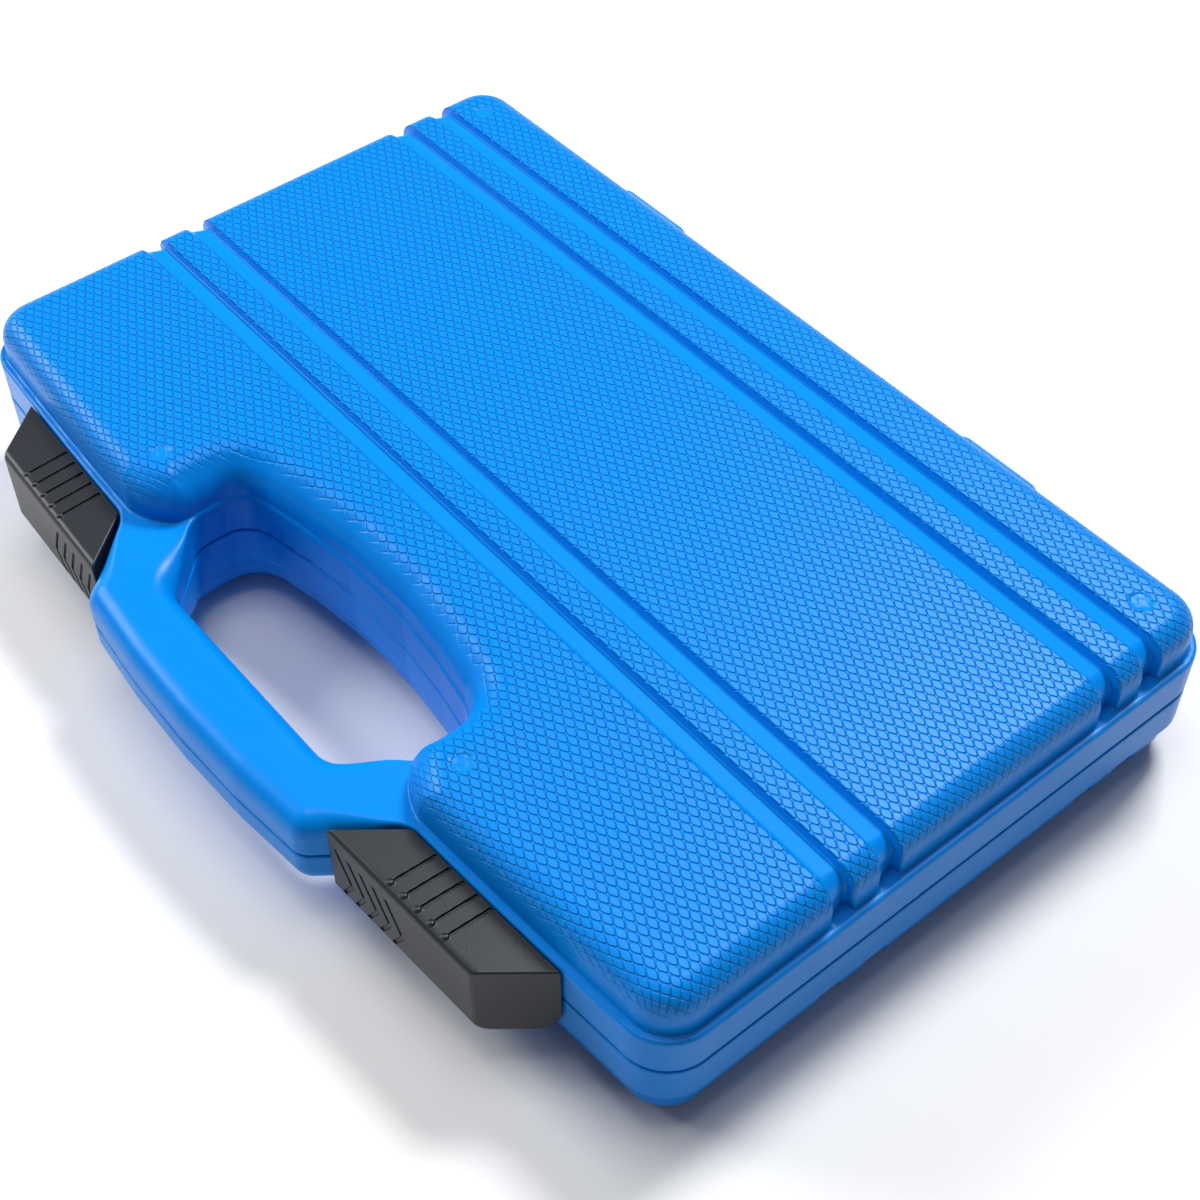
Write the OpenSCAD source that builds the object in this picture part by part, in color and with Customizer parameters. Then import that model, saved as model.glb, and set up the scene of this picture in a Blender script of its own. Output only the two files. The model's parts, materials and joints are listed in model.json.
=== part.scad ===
// A socket wrench set in its moulded carry case, lying flat and closed.
// Millimetres. X runs along the long edge, -Y is the handle side, +Z is up and z = 0 is the resting face.

/* [Case] */
// Length of the case along the hinge
case_l = 300; // [290:5:360]
// Depth of the case body, without handle and hinges
case_w = 190; // [186:2:230]
// Height of the smooth band round each half
band_h = 12.4; // [11.6:0.1:15]
// Height of the raised panel on each half
panel_h = 12.6; // [11.6:0.1:15.2]
// Width of the flat ledge between band and panel
ledge_w = 2.3; // [1.6:0.1:2.8]
// Radius of the case's corners in plan
corner_r = 13.5; // [12.5:0.5:20]
// How far the front edge bows out in the middle
front_bow = 5; // [3:0.5:6]
// Rounding of the raised panel's top edge
panel_r = 7; // [5:0.5:7.5]
// Thickness of the moulded walls
wall = 2; // [1.6:0.1:2.4]
// Gap between the two halves at the parting line
parting_gap = 0.4; // [0.3:0.1:0.8]

/* [Grooves] */
// Width of each long groove in the panels
groove_w = 6.5; // [4:0.5:7]
// Depth of each groove
groove_d = 2.2; // [1:0.1:2.4]
// Distance between the two grooves of a pair
groove_pitch = 15; // [12:0.5:18]
// Middle of the front pair of grooves, from the middle of the case
groove_front = -26.8; // [-30:0.5:-20]
// Middle of the rear pair of grooves, from the middle of the case
groove_rear = 62.5; // [55:0.5:66]

/* [Handle] */
// How far the handle stands out in front of the body
handle_reach = 23.5; // [22:0.5:30]
// Thickness of the handle's bar, front to back
bar_t = 21; // [18:0.5:24]
// How far the bar bows out in the middle
handle_bow = 3; // [1:0.5:4]
// Edge rounding of the handle
handle_r = 7; // [5:0.5:8]
// Length of the finger opening
finger_l = 104; // [96:1:112]
// Length of the finger opening along the bar
finger_bar_l = 68; // [60:1:76]
// Depth of the finger opening, front to back
finger_d = 39.5; // [36:0.5:44]
// Corner radius of the finger opening
finger_r = 9; // [6:0.5:11]
// Radius of the soft roll from the panel down to the finger opening
roll_r = 12; // [10:0.5:12.5]

/* [Hinges] */
// Distance of each hinge from the middle of the case
hinge_x = 71.5; // [60:0.5:90]
// Length of each hinge
hinge_l = 31; // [27:1:37]
// How far the hinge axis stands out behind the body
hinge_reach = 5.4; // [5:0.2:7]
// Height of the hinge housings above the parting line
housing_h = 16; // [13:0.5:17]
// Radius of the hinge knuckles
knuckle_r = 3.9; // [3.4:0.1:4.6]
// Diameter of the hinge pins
hinge_pin_d = 3; // [2.4:0.1:3.4]

/* [Latches] */
// Distance from the middle to a latch's inner rear corner
latch_x = 66; // [62:0.5:70]
// Length of a latch
latch_l = 52.6; // [48:0.5:58]
// Thickness of a latch, front to back
latch_t = 15.4; // [13:0.2:18]
// How far a latch's ends slant towards the handle
latch_skew = 13.6; // [8:0.2:15]
// Thickness of a latch's walls
latch_wall = 2.2; // [1.6:0.1:2.6]
// Diameter of the latch pins
latch_pin_d = 2.5; // [2:0.1:3]
// Gap between latch, body and handle
latch_gap = 1; // [0.8:0.1:1.6]

/* [Tools] */
// Width of the square drive
drive = 9.5; // [9.5:0.1:10]
// Length of the ratchet from head to grip end
ratchet_l = 200; // [180:2:205]
// Radius of the ratchet head
head_r = 17.5; // [17:0.5:18]
// Thickness of the ratchet head
head_h = 12.5; // [12:0.5:13.5]
// Number of teeth on the ratchet gear
gear_teeth = 36; // [24:2:48]
// Length of the long extension bar
ext_long = 150; // [120:5:150]
// Length of the short extension bar
ext_short = 75; // [60:5:80]
// Length of the sliding T-bar
tbar_l = 180; // [150:5:190]
// Diameter of the sliding T-bar
tbar_d = 8; // [7:0.5:9]
// Length of the deep sockets
deep_l = 60; // [50:1:62]

/* [Fits] */
// Radial clearance of a turning or sliding fit
run_fit = 0.06; // [0.03:0.01:0.09]
// Clearance round a tool in its pocket
pocket_fit = 0.6; // [0.4:0.1:1]
// Wall thickness of the tool tray
tray_wall = 1.2; // [1:0.1:1.4]
// Gap between tray or liner and the case walls
tray_gap = 0.4; // [0.3:0.1:1]

/* [Hidden] */
$fn = 48;
half_h = band_h + panel_h;
parting_z = half_h;
hinge_y = case_w / 2 + hinge_reach;
front_edge = -case_w / 2 - handle_reach;
rear_edge = hinge_y + knuckle_r;
shift_y = -(front_edge + rear_edge) / 2;
bow_x = case_l / 2 - corner_r;
latch_mid = latch_x + latch_l / 2;
latch_turn = atan(2 * front_bow * latch_mid / (bow_x * bow_x));
slant = tan(atan(latch_skew / latch_t) - latch_turn);
latch_axis_v = 6;
latch_axis_z = parting_z - band_h + 5.5;
latch_round = 5.4;
axis_shift = -latch_skew * latch_axis_v / latch_t;
ear_x = 14;
lug_x = 9.5;
lug_t = 4;
lug_r = 3.3;
finger_y = front_edge + bar_t;
panel_in = ledge_w + wall + 2.5;
deck_z = parting_z - 0.6;
pocket_floor = 6;
eps = 0.01;
gear_r = 10.8;
gear_h = 6.5;
chamber_r = 15.3;
lever_x = 19.6;
screw_r = 14.3;
plate_z = head_h - 1.8;
tbar_head_l = 18;
tbar_rest = 12;

// Every short socket: size, outside diameter, length, and the middle of its pocket
small_sizes = [8, 9, 10, 11, 12, 13, 14, 15, 16, 17, 18];
small_od = [17, 17, 17, 17, 17.5, 18.5, 20, 21, 22, 24, 25];
small_gap = 5.5;
small_y = -11;
small_total = sum_to(small_od, len(small_od)) + small_gap * (len(small_od) - 1);
big_sizes = [19, 20, 21, 22];
big_od = [26, 27.5, 28.5, 30];
big_x = [-77, -107.5, 110.5, 78];
big_y = -66.8;
deep_sizes = [10, 13, 14];
deep_od = [17, 19, 20];
deep_x = [-26, 41, 108];
deep_y = 16;

function sum_to(list, n) = n <= 0 ? 0 : list[n - 1] + sum_to(list, n - 1);
function small_x(i) = -small_total / 2 + sum_to(small_od, i) + small_gap * i + small_od[i] / 2;
function socket_len(size) = size < 16.5 ? 26 : (size < 18.5 ? 28 : 30);
function front_y(x) = -case_w / 2 + front_bow * pow(x / bow_x, 2);
function arc(cx, cy, r, a0, a1, n) =
    [for (i = [0:n]) [cx + r * cos(a0 + (a1 - a0) * i / n), cy + r * sin(a0 + (a1 - a0) * i / n)]];

// Outline of the case body in plan, moved inwards by d
function plan(d) =
    let (r = corner_r - d, yr = case_w / 2 - corner_r, yf = -case_w / 2 + front_bow + corner_r)
    concat(arc(bow_x, yr, r, 0, 90, 6), arc(-bow_x, yr, r, 90, 180, 6), arc(-bow_x, yf, r, 180, 270, 6),
        [for (i = [1:11]) let (x = -bow_x + bow_x * i / 6) [x, front_y(x) + d]],
        arc(bow_x, yf, r, 270, 360, 6));

// ---- outlines of the finger opening ----

module finger_plan(d) {
    rear = finger_y + finger_d;
    offset(r = finger_r)
        offset(delta = d - finger_r)
            polygon([[-finger_bar_l / 2 - 1, finger_y], [finger_bar_l / 2 + 1, finger_y],
                [finger_l / 2, finger_y + 17], [finger_l / 2, rear - 7], [30, rear - 2], [12, rear],
                [-12, rear], [-30, rear - 2], [-finger_l / 2, rear - 7], [-finger_l / 2, finger_y + 17]]);
}

// The finger opening with its mouth spread over the handle's arms, which the raised panel keeps clear of
module notch_plan(d) {
    finger_plan(d);
    mouth = front_y(0) - 10;
    half = finger_l / 2;
    offset(delta = d)
        polygon([[-half + 6, finger_y + 20], [-half - 2, finger_y + 11], [-half - 9, finger_y + 5],
            [-half - 9, mouth], [half + 9, mouth], [half + 9, finger_y + 5], [half + 2, finger_y + 11],
            [half - 6, finger_y + 20]]);
}

module handle_plan(d) {
    root = latch_x - latch_gap * 1.3;
    tip = root - slant * (handle_reach - 3);
    offset(r = 6)
        offset(delta = -d - 6)
            polygon(concat([[root + 6, front_y(root) + 8], [-root - 6, front_y(root) + 8],
                [-root, front_y(root)]],
                [for (i = [0:8])
                    let (x = -tip + tip * i / 4) [x, front_edge + handle_bow * pow(x / tip, 2)]],
                [[root, front_y(root)]]));
}

// ---- one half of the case: parting plane at z = 0, panel facing up ----

// The raised panel's rounded block, made smaller by d all round
module panel_block(d) {
    hull() {
        linear_extrude(eps) polygon(plan(ledge_w + d));
        for (a = [0:15:90])
            translate([0, 0, half_h - d - panel_r + panel_r * sin(a) - eps])
                linear_extrude(eps) polygon(plan(ledge_w + d + panel_r * (1 - cos(a))));
    }
}

module groove_strips(extra, z, h) {
    for (mid = [groove_front, groove_rear], side = [-1, 1])
        translate([-case_l / 2, mid + side * groove_pitch / 2 - groove_w / 2 - extra, z])
            cube([case_l, groove_w + 2 * extra, h]);
}

module panel_half() {
    steps = 6;
    difference() {
        panel_block(0);
        difference() {
            groove_strips(0, band_h, panel_h + 1);
            panel_block(groove_d);
        }
        for (k = [0:steps - 1])
            translate([0, 0, band_h + panel_h * k / steps])
                linear_extrude(panel_h / steps + eps)
                    notch_plan(roll_r - sqrt(roll_r * roll_r - pow(roll_r * (k + 0.5) / steps, 2)));
        translate([0, 0, -1]) linear_extrude(band_h + 2) finger_plan(0);
    }
}

module handle_half() {
    steps = 4;
    for (k = [0:steps]) {
        low = k == 0 ? 0 : band_h - handle_r + handle_r * (k - 1) / steps;
        high = band_h - handle_r + handle_r * k / steps;
        inset = k == 0 ? 0 : handle_r - sqrt(handle_r * handle_r - pow(handle_r * (k - 0.5) / steps, 2));
        translate([0, 0, low])
            linear_extrude(high - low)
                difference() {
                    handle_plan(inset);
                    finger_plan(inset);
                }
    }
}

module cavity_half() {
    translate([0, 0, -1])
        linear_extrude(band_h - wall + 1)
            difference() {
                polygon(plan(wall));
                finger_plan(wall);
            }
    difference() {
        linear_extrude(half_h - wall)
            difference() {
                polygon(plan(panel_in));
                notch_plan(roll_r * 0.6);
            }
        groove_strips(wall, half_h - wall - groove_d, 10);
    }
}

// The rounded housing that carries a hinge, with its rear face just inside the hinge axis
module hinge_housing() {
    length = hinge_l;
    rear = hinge_y - 0.2;
    root = case_w / 2 - ledge_w - 1;
    round = 5;
    intersection() {
        rotate([90, 0, 90])
            translate([0, 0, -length / 2])
                linear_extrude(length)
                    polygon(concat([[root, 0], [rear, 0]],
                        arc(rear - round, housing_h - round, round, 0, 90, 6), [[root, housing_h]]));
        linear_extrude(housing_h)
            offset(r = 4) offset(delta = -4)
                translate([-length / 2, root - 12]) square([length, rear - root + 12]);
    }
}

// Takes a knuckle's stretch of the hinge along X: the middle one, or the two outer ones
module knuckle_run(middle, r, extra) {
    third = hinge_l / 3;
    if (middle)
        rotate([0, 90, 0]) cylinder(r = r, h = third - 0.6 + 2 * extra, center = true);
    else
        for (side = [-1, 1])
            translate([side * (third + 0.5), 0, 0])
                rotate([0, 90, 0]) cylinder(r = r, h = third - 1.6 + 2 * extra, center = true);
}

module shell_half(knuckle_middle) {
    difference() {
        union() {
            difference() {
                linear_extrude(band_h) polygon(plan(0));
                translate([0, 0, -1]) linear_extrude(band_h + 2) finger_plan(0);
            }
            handle_half();
            panel_half();
            for (side = [-1, 1])
                translate([side * hinge_x, 0, 0]) hinge_housing();
        }
        cavity_half();
        translate([0, 0, parting_gap / 2 - 5]) cube([2 * case_l, 2 * case_w, 10], center = true);
        for (side = [-1, 1])
            translate([side * hinge_x, hinge_y, 0]) {
                knuckle_run(!knuckle_middle, knuckle_r + 0.4, 0.6);
                rotate([0, 90, 0]) cylinder(d = hinge_pin_d + 2 * run_fit, h = hinge_l + 10, center = true);
            }
    }
    for (side = [-1, 1])
        translate([side * hinge_x, hinge_y, 0])
            difference() {
                union() {
                    knuckle_run(knuckle_middle, knuckle_r, 0);
                    intersection() {
                        knuckle_run(knuckle_middle, knuckle_r * 2.2, 0);
                        translate([-hinge_l / 2, -hinge_reach - 1, parting_gap / 2])
                            cube([hinge_l, hinge_reach + 1, knuckle_r * 2]);
                    }
                }
                rotate([0, 90, 0]) cylinder(d = hinge_pin_d + 2 * run_fit, h = hinge_l + 10, center = true);
            }
}

// ---- latches ----

// Places a child drawn for the right-hand latch: x along the wall, y out of the case
module at_latch(side) {
    mirror([side < 0 ? 1 : 0, 0, 0])
        translate([latch_mid, front_y(latch_mid), 0])
            rotate([0, 0, latch_turn])
                mirror([0, 1, 0]) children();
}

module latch_plan(d) {
    back = latch_l / 2;
    front = latch_l / 2 - latch_skew;
    cut = d / cos(atan(latch_skew / latch_t));
    polygon([[-back + cut, 0.3], [back - cut, 0.3], [front - cut, latch_t - d],
        [front - latch_l + cut, latch_t - d]]);
}

// Side profile of the latch, across its length, with the rounded heel about the pin
module latch_profile(d) {
    low = latch_axis_z - latch_round + d;
    high = parting_z + band_h - d;
    front = latch_t - d;
    nose = 4 - d;
    polygon(concat([[0.3, latch_axis_z], [0.3, high]],
        arc(front - 1.5, high - 1.5, 1.5, 90, 0, 4),
        arc(front - nose, low + nose, nose, 0, -90, 5),
        arc(latch_axis_v, latch_axis_z, latch_round - d, 270, 180, 6)));
}

module latch_slab(d, plan_d) {
    intersection() {
        rotate([90, 0, 90]) translate([0, 0, -latch_l]) linear_extrude(2 * latch_l) latch_profile(d);
        linear_extrude(2 * half_h) latch_plan(plan_d);
    }
}

module latch(side) {
    difference() {
        union() {
            difference() {
                latch_slab(0, 0);
                translate([0, -0.1, 0]) latch_slab(latch_wall, latch_wall);
                translate([0, -1, 0]) intersection() {
                    latch_slab(latch_wall, latch_wall);
                    translate([-latch_l, 0, latch_axis_z]) cube([2 * latch_l, 3, half_h]);
                }
            }
            // Ears that carry the pin
            intersection() {
                for (s = [-1, 1])
                    translate([axis_shift + s * ear_x - 1.25, 0, 0]) cube([2.5, latch_t, parting_z]);
                latch_slab(0.6, 1);
                rotate([90, 0, 90])
                    translate([latch_axis_v, latch_axis_z, -latch_l])
                        cylinder(r = latch_round - 0.6, h = 2 * latch_l);
            }
            // Bead that snaps into the lid's recess
            translate([axis_shift - 6, 0.3, parting_z + 3.6]) cube([12, latch_wall, band_h - 4.6]);
        }
        translate([axis_shift, latch_axis_v, latch_axis_z])
            rotate([0, 90, 0]) cylinder(d = latch_pin_d + 2 * run_fit, h = 2 * ear_x + 6, center = true);
        // Slots through the heel for the base's lugs
        for (s = [-1, 1])
            translate([axis_shift + s * lug_x - lug_t / 2 - 0.5, -1, latch_axis_z - 8])
                cube([lug_t + 1, latch_axis_v + lug_r + 1.4, 8 + lug_r + 0.5]);
    }
}

// Lugs on the base that hold a latch pin
module latch_lugs() {
    for (s = [-1, 1])
        difference() {
            translate([axis_shift + s * lug_x - lug_t / 2, 0, 0])
                rotate([90, 0, 90])
                    linear_extrude(lug_t) {
                        translate([latch_axis_v, latch_axis_z]) circle(r = lug_r);
                        translate([-1.2, latch_axis_z - lug_r]) square([latch_axis_v + 1.2, 2 * lug_r]);
                    }
            translate([axis_shift, latch_axis_v, latch_axis_z])
                rotate([0, 90, 0]) cylinder(d = latch_pin_d + 2 * run_fit, h = 60, center = true);
        }
}

// Recess in the lid's front wall for the latch's bead
module latch_recess() {
    translate([axis_shift - 7, -1.1, parting_z + 3.2]) cube([14, 2, 3]);
}

// Room for the latch's heel as it swings down past the handle's arm
module heel_sweep() {
    reach = latch_t - latch_axis_v + 0.8;
    intersection() {
        translate([-latch_l, latch_axis_v, latch_axis_z])
            rotate([0, 90, 0]) cylinder(r = reach, h = latch_l);
        translate([-latch_l / 2 - latch_skew - 1, 0.3, latch_axis_z - reach])
            cube([latch_skew + 2, latch_axis_v + reach, reach + 2]);
    }
}

module latch_pin() {
    translate([axis_shift, latch_axis_v, latch_axis_z])
        rotate([0, 90, 0]) cylinder(d = latch_pin_d, h = 2 * ear_x + 2.4, center = true);
}

// ---- tray and liner ----

// A trough for a round tool: its middle, length along the tool, radius, axis height and direction
module trough(x, y, length, r, z, along_y, grow) {
    translate([x, y, 0]) rotate([0, 0, along_y ? 90 : 0]) {
        translate([0, 0, z])
            rotate([0, 90, 0]) cylinder(r = r + grow, h = length + 2 * grow, center = true);
        translate([-length / 2 - grow, -r - grow, z])
            cube([length + 2 * grow, 2 * (r + grow), deck_z + 2 - z]);
    }
}

function axis_z(od) = pocket_floor + pocket_fit + od / 2;

ratchet_at = [-case_l / 2 + 28, 67.5, 17.5];
ext_z = axis_z(17);
tbar_at = [0, -38.5, 24];
spark_at = [[101, 43.5, 21], [101, 71.5, 27]];
spark_l = 65;
adaptor_at = [40, 38.5];
adaptor_l = 36;
ext_long_at = [-case_l / 2 + 12 + ext_long / 2, 39];
ext_short_at = [-case_l / 2 + 12 + ext_short / 2, 16];

module pockets(grow) {
    fit = pocket_fit;
    for (i = [0:len(small_sizes) - 1])
        trough(small_x(i), small_y, socket_len(small_sizes[i]) + 2 * fit, small_od[i] / 2 + fit,
            axis_z(small_od[i]), true, grow);
    for (i = [0:len(big_sizes) - 1])
        trough(big_x[i], big_y, socket_len(big_sizes[i]) + 2 * fit, big_od[i] / 2 + fit,
            axis_z(big_od[i]), true, grow);
    for (i = [0:len(deep_sizes) - 1])
        trough(deep_x[i], deep_y, deep_l + 2 * fit, deep_od[i] / 2 + fit, axis_z(deep_od[i]), false, grow);
    for (s = spark_at)
        trough(s[0], s[1], spark_l + 2 * fit, s[2] / 2 + fit, axis_z(s[2]), false, grow);
    trough(adaptor_at[0], adaptor_at[1], adaptor_l + 2 * fit, 11 + fit, axis_z(22), false, grow);
    trough(ext_long_at[0], ext_long_at[1], ext_long + 2 * fit, 8.5 + fit, ext_z, false, grow);
    trough(ext_short_at[0], ext_short_at[1], ext_short + 2 * fit, 8.5 + fit, ext_z, false, grow);
    // Finger scoops across the rows
    trough(0, small_y, small_total - 8, 8, 25, false, grow);
    for (side = [-1, 1])
        trough(side * 93, big_y, 40, 8, 25, false, grow);
    trough(-27, 30, 12, 12, 26, true, grow);
    trough(101, 57, 34, 8, 25, true, grow);
    tbar_pocket(grow);
    ratchet_pocket(grow);
}

module tbar_pocket(grow) {
    half = tbar_l / 2 - 10;
    translate([tbar_at[0] - half - grow, tbar_at[1] - 8 - pocket_fit - grow, pocket_floor - grow])
        cube([2 * (half + grow), 16 + 2 * (pocket_fit + grow), 30]);
    trough(tbar_at[0], tbar_at[1], tbar_l + 2 * pocket_fit, tbar_d / 2 + pocket_fit, tbar_at[2],
        false, grow);
}

module ratchet_pocket(grow) {
    x = ratchet_at[0];
    y = ratchet_at[1];
    g = pocket_fit + grow;
    translate([x, y, ratchet_at[2] - pocket_fit - grow]) cylinder(r = head_r + g, h = 20);
    translate([x, y, pocket_floor - grow]) cylinder(r = 9 + grow, h = 20);
    translate([x - grow, y - 15.5 - g, ratchet_at[2] - pocket_fit - grow])
        cube([24 + 2 * grow, 31 + 2 * g, 20]);
    trough(x + (ratchet_l - head_r) / 2, y, ratchet_l - head_r + 2 * pocket_fit, 13 + pocket_fit,
        ratchet_at[2] + head_h / 2, false, grow);
}

module tool_tray() {
    gap = wall + tray_gap;
    color("royalblue")
        difference() {
            union() {
                translate([0, 0, deck_z - 2])
                    linear_extrude(2)
                        difference() {
                            polygon(plan(gap));
                            finger_plan(gap);
                        }
                translate([0, 0, parting_z - band_h + wall])
                    linear_extrude(deck_z - parting_z + band_h - wall)
                        difference() {
                            polygon(plan(gap));
                            polygon(plan(gap + 1.5));
                            finger_plan(gap);
                        }
                intersection() {
                    pockets(tray_wall);
                    cube([2 * case_l, 2 * case_w, 2 * deck_z], center = true);
                }
            }
            pockets(0);
        }
}

module lid_liner() {
    low = parting_z + 12.6;
    color("dimgray")
        translate([0, 0, low])
            linear_extrude(2 * half_h - wall - groove_d - low)
                difference() {
                    polygon(plan(panel_in + 1));
                    notch_plan(roll_r * 0.6 + 1);
                }
}

// ---- shells, pins and latches in place ----

module base_shell() {
    color([0, 0.42, 0.86]) {
        difference() {
            translate([0, 0, parting_z]) mirror([0, 0, 1]) shell_half(false);
            for (side = [-1, 1])
                at_latch(side) heel_sweep();
        }
        for (side = [-1, 1])
            at_latch(side) latch_lugs();
    }
}

module lid_shell() {
    color([0, 0.47, 0.92])
        difference() {
            translate([0, 0, parting_z]) shell_half(true);
            for (side = [-1, 1])
                at_latch(side) latch_recess();
        }
}

module hinge_pin(side) {
    color("silver")
        translate([side * hinge_x, hinge_y, parting_z])
            rotate([0, 90, 0]) cylinder(d = hinge_pin_d, h = hinge_l - 1, center = true);
}

// ---- tools ----

// A socket drawn along Z: wrench end at the bottom, drive end at the top
module socket_solid(size, od, length) {
    hex_end = min(od, size * 1.36 + 1.4);
    drive_od = min(od, max(17, hex_end));
    depth = min(length - 10, size * 0.6 + 5);
    difference() {
        rotate_extrude()
            polygon([[0, 0], [hex_end / 2 - 0.8, 0], [hex_end / 2, 0.8], [hex_end / 2, length * 0.42],
                [drive_od / 2, length * 0.52], [drive_od / 2, length * 0.66],
                [drive_od / 2 - 0.4, length * 0.67],
                [drive_od / 2 - 0.4, length * 0.71], [drive_od / 2, length * 0.72],
                [drive_od / 2, length - 0.8], [drive_od / 2 - 0.8, length], [0, length]]);
        translate([0, 0, -eps]) {
            cylinder(d = size / cos(30) + 0.2, h = depth, $fn = 6);
            rotate([0, 0, 30]) cylinder(d = size / cos(30) + 0.2, h = depth, $fn = 6);
            cylinder(d = min(size, 9), h = length + 1);
        }
        translate([0, 0, length - 10.5])
            linear_extrude(11) square(drive + 0.15, center = true);
    }
}

module lying_socket(x, y, size, od, length, along_y) {
    color("silver")
        translate([x, y, axis_z(od)])
            rotate([0, 0, along_y ? 0 : -90])
                translate([0, -length / 2, 0]) rotate([-90, 0, 0]) socket_solid(size, od, length);
}

// An extension bar along X: square end to the left, socket end to the right
module extension(length) {
    color("silver")
        difference() {
            translate([-length / 2, 0, 0]) {
                rotate([0, 90, 0])
                    rotate_extrude()
                        polygon([[0, 10.5], [5.2, 10.5], [6.2, 12], [6.2, 22], [5.6, 23],
                            [5.6, length - 26],
                            [8.5, length - 20], [8.5, length - 0.8], [7.7, length], [0, length]]);
                translate([0, -drive / 2, -drive / 2]) cube([11, drive, drive]);
            }
            translate([length / 2 - 11, 0, 0])
                translate([0, -drive / 2 - 0.08, -drive / 2 - 0.08])
                    cube([12, drive + 0.16, drive + 0.16]);
            translate([-length / 2 + 5.5, 0, drive / 2 - 2.5]) cylinder(r = 1.6, h = 4);
        }
}

module extension_balls() {
    for (at = [[ext_long_at, ext_long], [ext_short_at, ext_short]])
        translate([at[0][0] - at[1] / 2 + 5.5, at[0][1], ext_z + drive / 2 - 0.9]) sphere(r = 1.5);
}

module step_up_adaptor() {
    color("silver")
        translate([adaptor_at[0], adaptor_at[1], axis_z(22)])
            difference() {
                union() {
                    translate([-adaptor_l / 2, 0, 0])
                        rotate([0, 90, 0])
                            rotate_extrude()
                                polygon([[0, 0], [10.2, 0], [11, 0.8], [11, 9], [10.4, 9.6], [10.4, 11],
                                    [11, 11.6], [11, 19], [9, 22.5], [0, 22.5]]);
                    translate([-adaptor_l / 2 + 22, -6.35, -6.35]) cube([adaptor_l - 22, 12.7, 12.7]);
                }
                translate([-adaptor_l / 2 - 1, -drive / 2 - 0.08, -drive / 2 - 0.08])
                    cube([12, drive + 0.16, drive + 0.16]);
            }
}

module t_bar() {
    color("silver")
        translate(tbar_at)
            rotate([0, 90, 0])
                translate([0, 0, -tbar_l / 2])
                    rotate_extrude()
                        polygon([[0, 0], [tbar_d / 2 - 1, 0], [tbar_d / 2, 1], [tbar_d / 2, 4],
                            [tbar_d / 2 - 0.5, 4.6], [tbar_d / 2 - 0.5, 6], [tbar_d / 2, 6.6],
                            [tbar_d / 2, tbar_l - 6.6], [tbar_d / 2 - 0.5, tbar_l - 6],
                            [tbar_d / 2 - 0.5, tbar_l - 4.6], [tbar_d / 2, tbar_l - 4],
                            [tbar_d / 2, tbar_l - 1], [tbar_d / 2 - 1, tbar_l], [0, tbar_l]]);
}

module t_bar_head() {
    color("gainsboro")
        translate([tbar_rest, tbar_at[1], tbar_at[2]])
            difference() {
                union() {
                    translate([0, 0, -8]) cylinder(r = 7.6, h = 15.5);
                    translate([-tbar_head_l / 2, -6.5, -6.5]) cube([tbar_head_l, 13, 13]);
                    translate([-drive / 2, -drive / 2, -17.2]) cube([drive, drive, 11]);
                }
                rotate([0, 90, 0]) cylinder(d = tbar_d + 2 * run_fit, h = 40, center = true);
            }
}

module spark_inserts() {
    color("black")
        for (s = spark_at)
            translate([s[0] + 12, s[1], axis_z(s[2])])
                rotate([0, 90, 0])
                    difference() {
                        cylinder(d = s[2] - 7.4, h = 12, center = true);
                        cylinder(d = s[2] - 11, h = 14, center = true);
                    }
}

module spark_socket(k) {
    size = [16, 21][k];
    color("silver")
        translate([spark_at[k][0], spark_at[k][1], axis_z(spark_at[k][2])])
            rotate([0, 90, 0])
                difference() {
                    rotate_extrude()
                        polygon([[0, -spark_l / 2], [spark_at[k][2] / 2 - 0.8, -spark_l / 2],
                            [spark_at[k][2] / 2, 0.8 - spark_l / 2],
                            [spark_at[k][2] / 2, spark_l / 2 - 0.8],
                            [spark_at[k][2] / 2 - 0.8, spark_l / 2], [0, spark_l / 2]]);
                    translate([0, 0, spark_l / 2 - 14])
                        cylinder(d = size / cos(30) + 0.2, h = 15, $fn = 6);
                    translate([0, 0, -spark_l / 2 + 12])
                        cylinder(d = spark_at[k][2] - 7.3, h = spark_l - 18);
                    translate([0, 0, -spark_l / 2 - 1])
                        linear_extrude(14) square(drive + 0.15, center = true);
                }
}

// ---- ratchet, drawn about the head's axis with z = 0 at the head's lower face ----

module at_ratchet() {
    translate(ratchet_at) children();
}

module sector(r0, r1, half_angle, h) {
    linear_extrude(h)
        polygon(concat(arc(0, 0, r1, -half_angle, half_angle, 12),
            arc(0, 0, r0, half_angle, -half_angle, 12)));
}

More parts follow.
